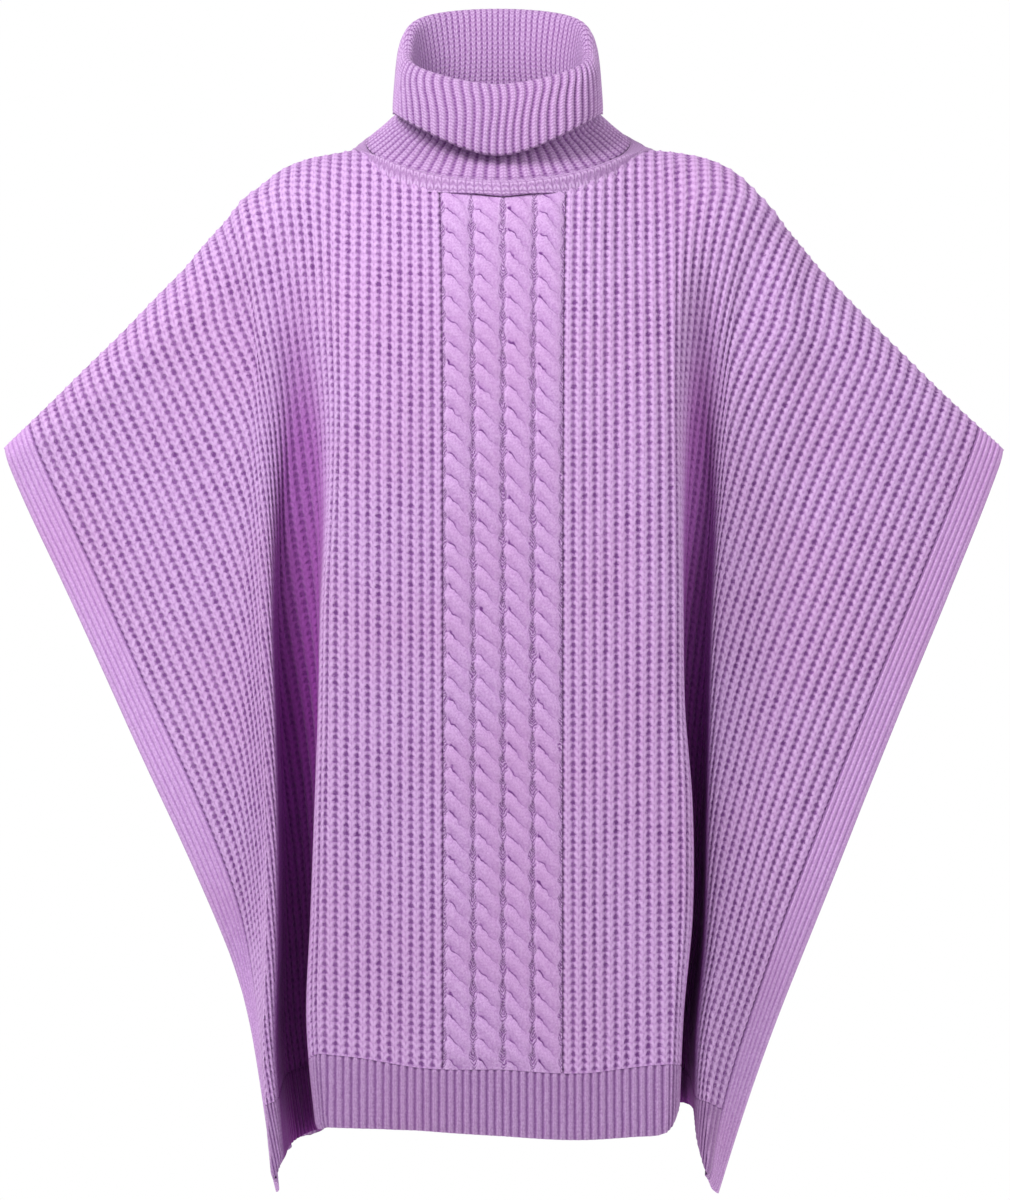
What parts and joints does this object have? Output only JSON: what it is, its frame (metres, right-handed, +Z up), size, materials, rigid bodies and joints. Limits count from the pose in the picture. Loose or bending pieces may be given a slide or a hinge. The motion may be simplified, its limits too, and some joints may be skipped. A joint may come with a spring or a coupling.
{
  "type": "poncho sweater",
  "caption": "Knitted poncho sweater with a folded ribbed turtleneck, a cabled front and wide wings that drape from the arms in deep folds",
  "frame": {"origin": "centre of the neck at shoulder height, where a wearer's shoulders hold the garment up", "axes": "+Z up, -Y towards the front, +X to the right of the picture"},
  "size_m": [0.7795, 0.2726, 0.9236],
  "materials": {
    "panel_yarn": "matte",
    "rib_yarn": "matte",
    "collar_yarn": "matte"
  },
  "bodies": {
    "root": {"front_panel": "panel_yarn", "back_panel": "panel_yarn", "front_hem_rib": "rib_yarn", "back_hem_rib": "rib_yarn", "front_border_left": "rib_yarn", "front_border_right": "rib_yarn", "back_border_left": "rib_yarn", "back_border_right": "rib_yarn", "neck_welt": "collar_yarn", "collar": "collar_yarn"}
  },
  "joints": []
}
